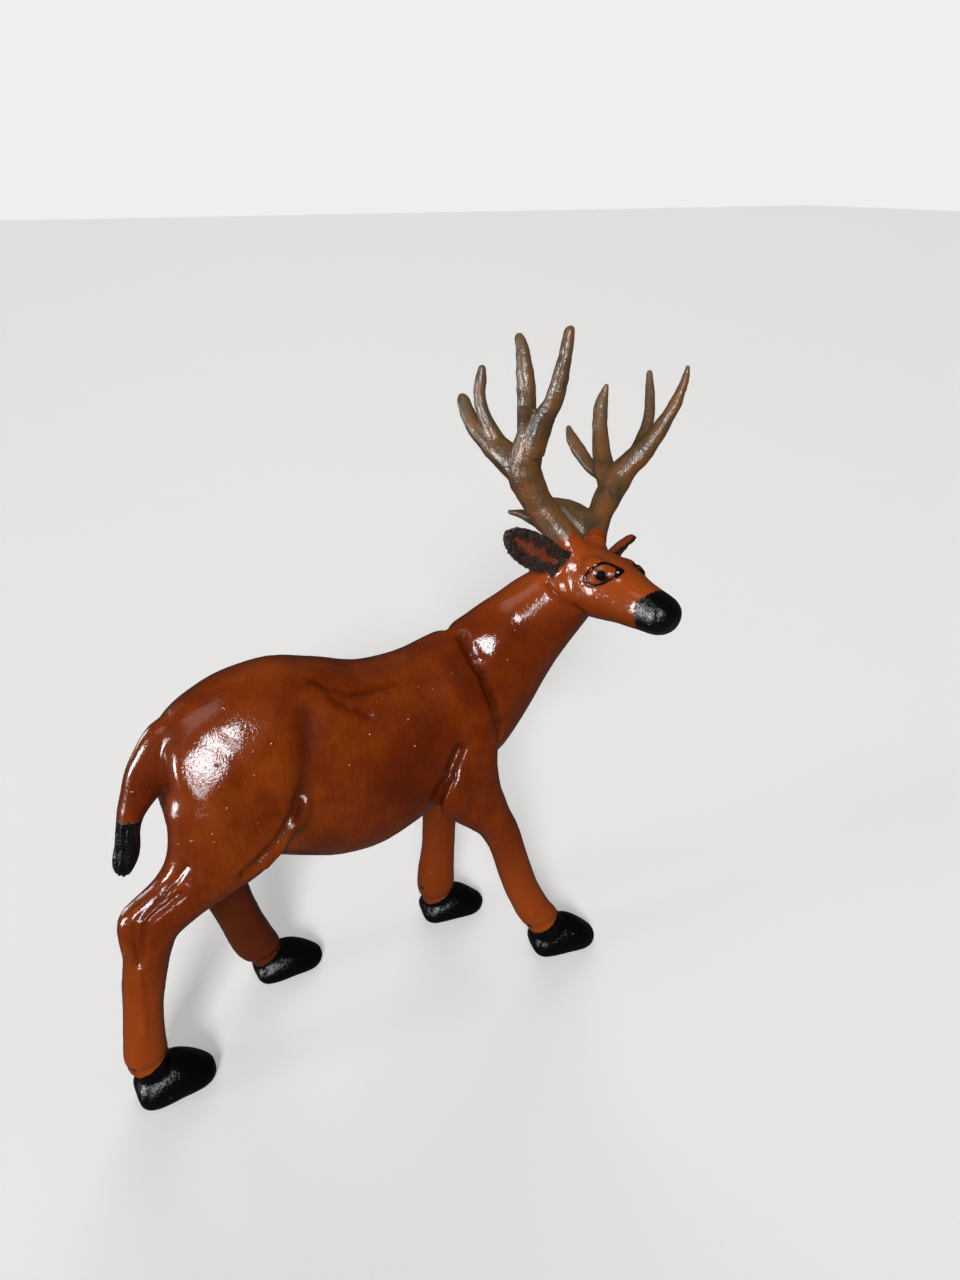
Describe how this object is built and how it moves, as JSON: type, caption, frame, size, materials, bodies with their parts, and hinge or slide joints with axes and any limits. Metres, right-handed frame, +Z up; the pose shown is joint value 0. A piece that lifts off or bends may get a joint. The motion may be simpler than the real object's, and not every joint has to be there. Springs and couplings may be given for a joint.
{
  "type": "carved wooden deer figurine",
  "caption": "Hand-carved wooden stag in a walking stance, head turned aside, with branched antlers and black painted hooves, muzzle and tail tip",
  "frame": {"origin": "centre of the footprint of the whole figure's box, at the height of the soles", "axes": "+X towards the deer's chest, +Y towards its left side, +Z up; the head is turned to its right, towards -Y"},
  "size_m": [0.3844, 0.16, 0.4054],
  "materials": {
    "lacquered_wood": "red-brown stain under brushed gloss varnish, with black painted hooves, muzzle, tail tip, ear rims and eye lines",
    "antler_wood": "thin grey-brown glaze over orange stain, under gloss varnish"
  },
  "bodies": {
    "root": {"body": "lacquered_wood", "antler_right": "antler_wood", "antler_left": "antler_wood"}
  },
  "joints": []
}
